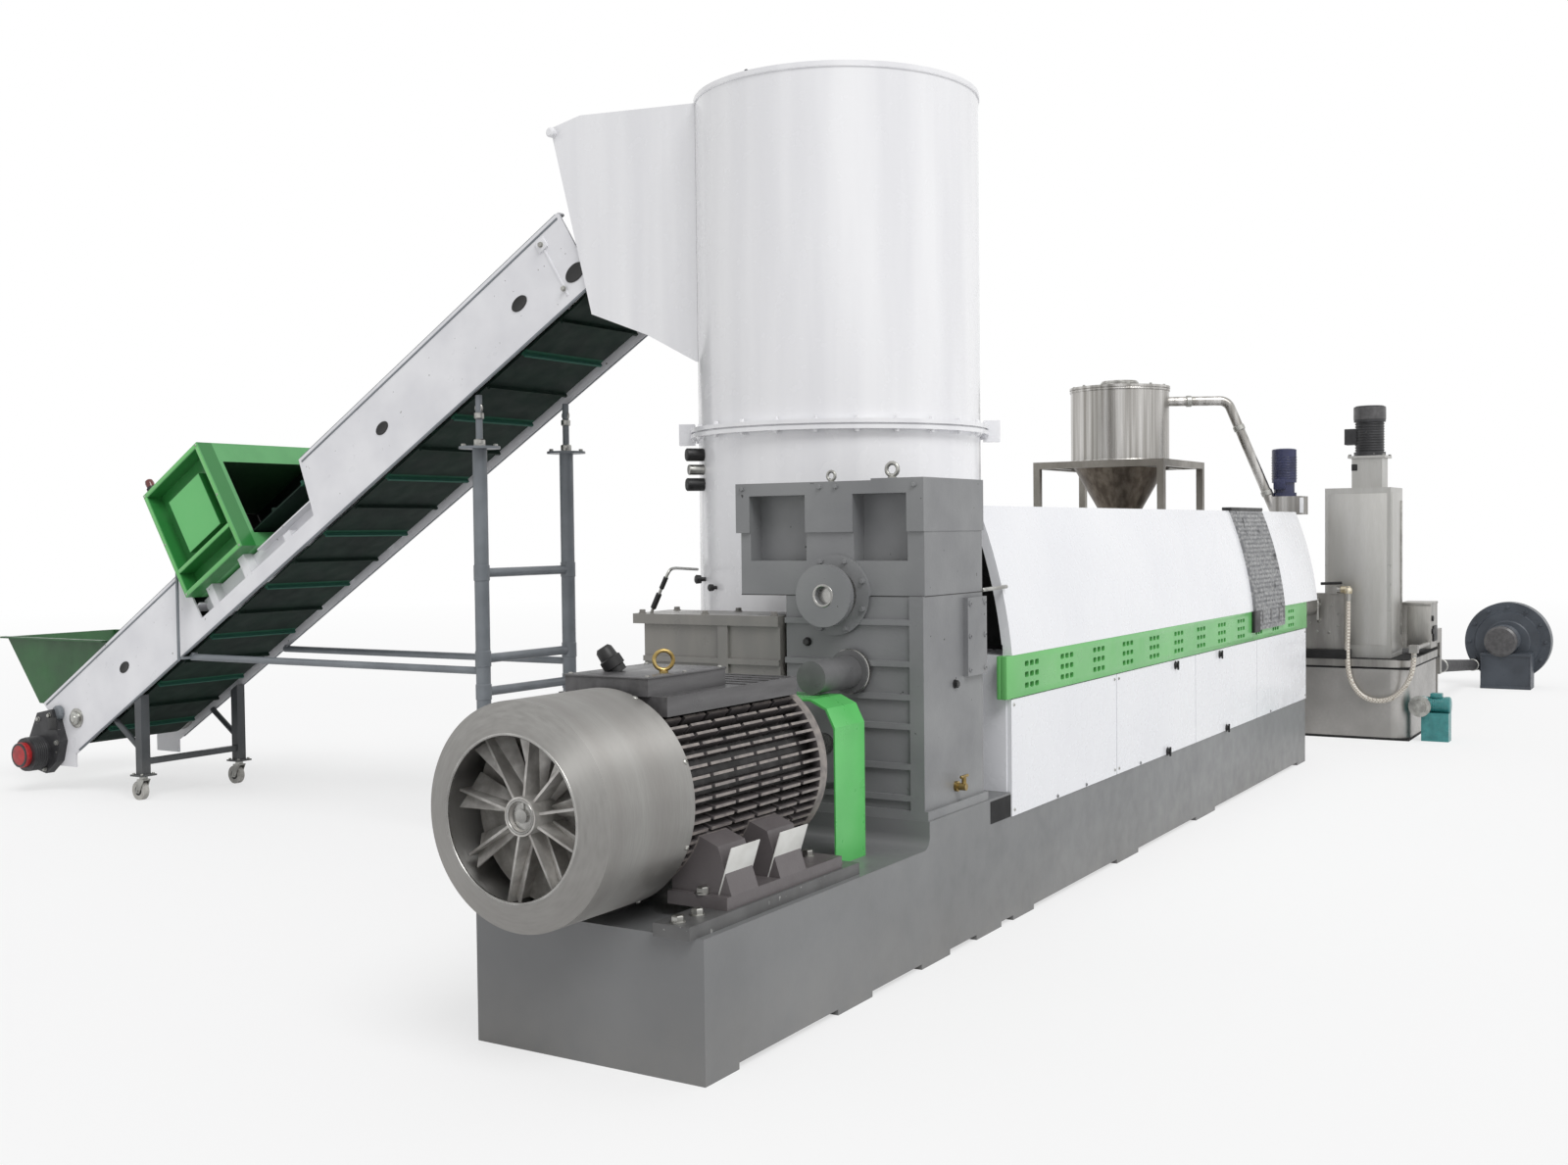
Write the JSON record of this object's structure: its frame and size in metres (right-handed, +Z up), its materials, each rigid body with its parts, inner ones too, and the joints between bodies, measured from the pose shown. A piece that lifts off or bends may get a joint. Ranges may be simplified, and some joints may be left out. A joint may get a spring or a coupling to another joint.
{
  "type": "plastic film pelletizing line",
  "caption": "Recycling line that lifts scrap film on a belt into a cutter tower, melts it in a screw extruder and cuts, dries and stores the pellets.",
  "frame": {"origin": "centre of the underside of the sole pad below the gearbox's front face", "axes": "+X along the line from the main motor to the pelletizer and blower, +Y towards the feed conveyor, +Z up"},
  "size_m": [13.75, 8.1169, 3.645],
  "materials": {
    "bed_grey": "satin grey enamel on welded steel",
    "gear_grey": "satin grey enamel on iron castings",
    "motor_metal": "metallic grey lacquer",
    "cast_fan": "as cast",
    "bare_steel": "turned",
    "guard_green": "gloss enamel",
    "cover_white": "gloss powder coat",
    "tower_white": "gloss enamel",
    "stainless": "brushed stainless",
    "belt_green": "satin rubber belt",
    "conveyor_white": "satin powder coat",
    "hopper_green": "gloss enamel",
    "leg_grey": "satin enamel",
    "wheel_black": "moulded",
    "strap_grey": "perforated sheet",
    "motor_blue": "gloss enamel",
    "motor_dark": "satin enamel",
    "pump_teal": "gloss enamel",
    "blower_slate": "satin enamel",
    "hose_clear": "braided clear hose",
    "duct_dark": "ribbed duct"
  },
  "bodies": {
    "line": {"bed_frame": "bed_grey", "sole_pads": "bed_grey", "motor_rails": "bed_grey", "motor_body": "motor_metal", "motor_cowl": "motor_metal", "motor_shroud": "motor_metal", "coupling_guard": "guard_green", "gearbox_lower": "gear_grey", "gearbox_upper": "gear_grey", "output_cover": "gear_grey", "drive_housing": "gear_grey", "drive_lid": "gear_grey", "tower_floor": "tower_white", "tower_lower": "tower_white", "tower_flange": "tower_white", "tower_upper": "tower_white", "tower_roof": "tower_white", "feed_hood": "tower_white", "conveyor_plate_near": "conveyor_white", "conveyor_plate_far": "conveyor_white", "conveyor_belt": "belt_green", "belt_rollers": "bare_steel", "tail_gearmotor": "motor_dark", "feed_hopper": "hopper_green", "detector_housing": "guard_green", "low_legs": "leg_grey", "tall_legs": "leg_grey", "cabinet": "cover_white", "cabinet_panels": "cover_white", "vent_band": "guard_green", "cover_hood": "cover_white", "back_cover": "cover_white", "barrel": "bare_steel", "cover_strap": "strap_grey", "silo_shell": "stainless", "silo_cone": "stainless", "silo_lid": "stainless", "silo_stand": "stainless", "pellet_pipe": "stainless", "drying_column": "stainless", "column_motor": "motor_blue", "pelletizer": "stainless", "water_tank": "stainless", "tank_lid": "stainless", "dryer_casing": "stainless", "water_hose": "hose_clear", "oil_pump": "motor_dark", "dryer_motor": "motor_dark", "dryer_outlet": "stainless", "water_pump": "pump_teal", "air_pipe": "duct_dark", "blower_scroll": "blower_slate", "blower_motor": "blower_slate"},
    "rotor": {"motor_fan": "cast_fan", "motor_shaft": "bare_steel", "input_coupling": "bare_steel"},
    "caster_near": {"caster_fork_near": "bare_steel"},
    "wheel_near": {"caster_wheel_near": "wheel_black"},
    "caster_far": {"caster_fork_far": "bare_steel"},
    "wheel_far": {"caster_wheel_far": "wheel_black"}
  },
  "joints": [
    {"name": "motor_spin", "type": "hinge", "parent": "line", "child": "rotor", "pos_m": [-1.685, 0, 0.795], "axis": [1, 0, 0], "continuous": true},
    {"name": "caster_near_swivel", "type": "hinge", "parent": "line", "child": "caster_near", "pos_m": [0.937, 5.4, 0.14], "axis": [0, 0, 1], "continuous": true},
    {"name": "wheel_near_roll", "type": "hinge", "parent": "caster_near", "child": "wheel_near", "pos_m": [0.937, 5.43, 0.058], "axis": [1, 0, 0], "continuous": true},
    {"name": "caster_far_swivel", "type": "hinge", "parent": "line", "child": "caster_far", "pos_m": [1.657, 5.4, 0.14], "axis": [0, 0, 1], "continuous": true},
    {"name": "wheel_far_roll", "type": "hinge", "parent": "caster_far", "child": "wheel_far", "pos_m": [1.657, 5.43, 0.058], "axis": [1, 0, 0], "continuous": true}
  ]
}
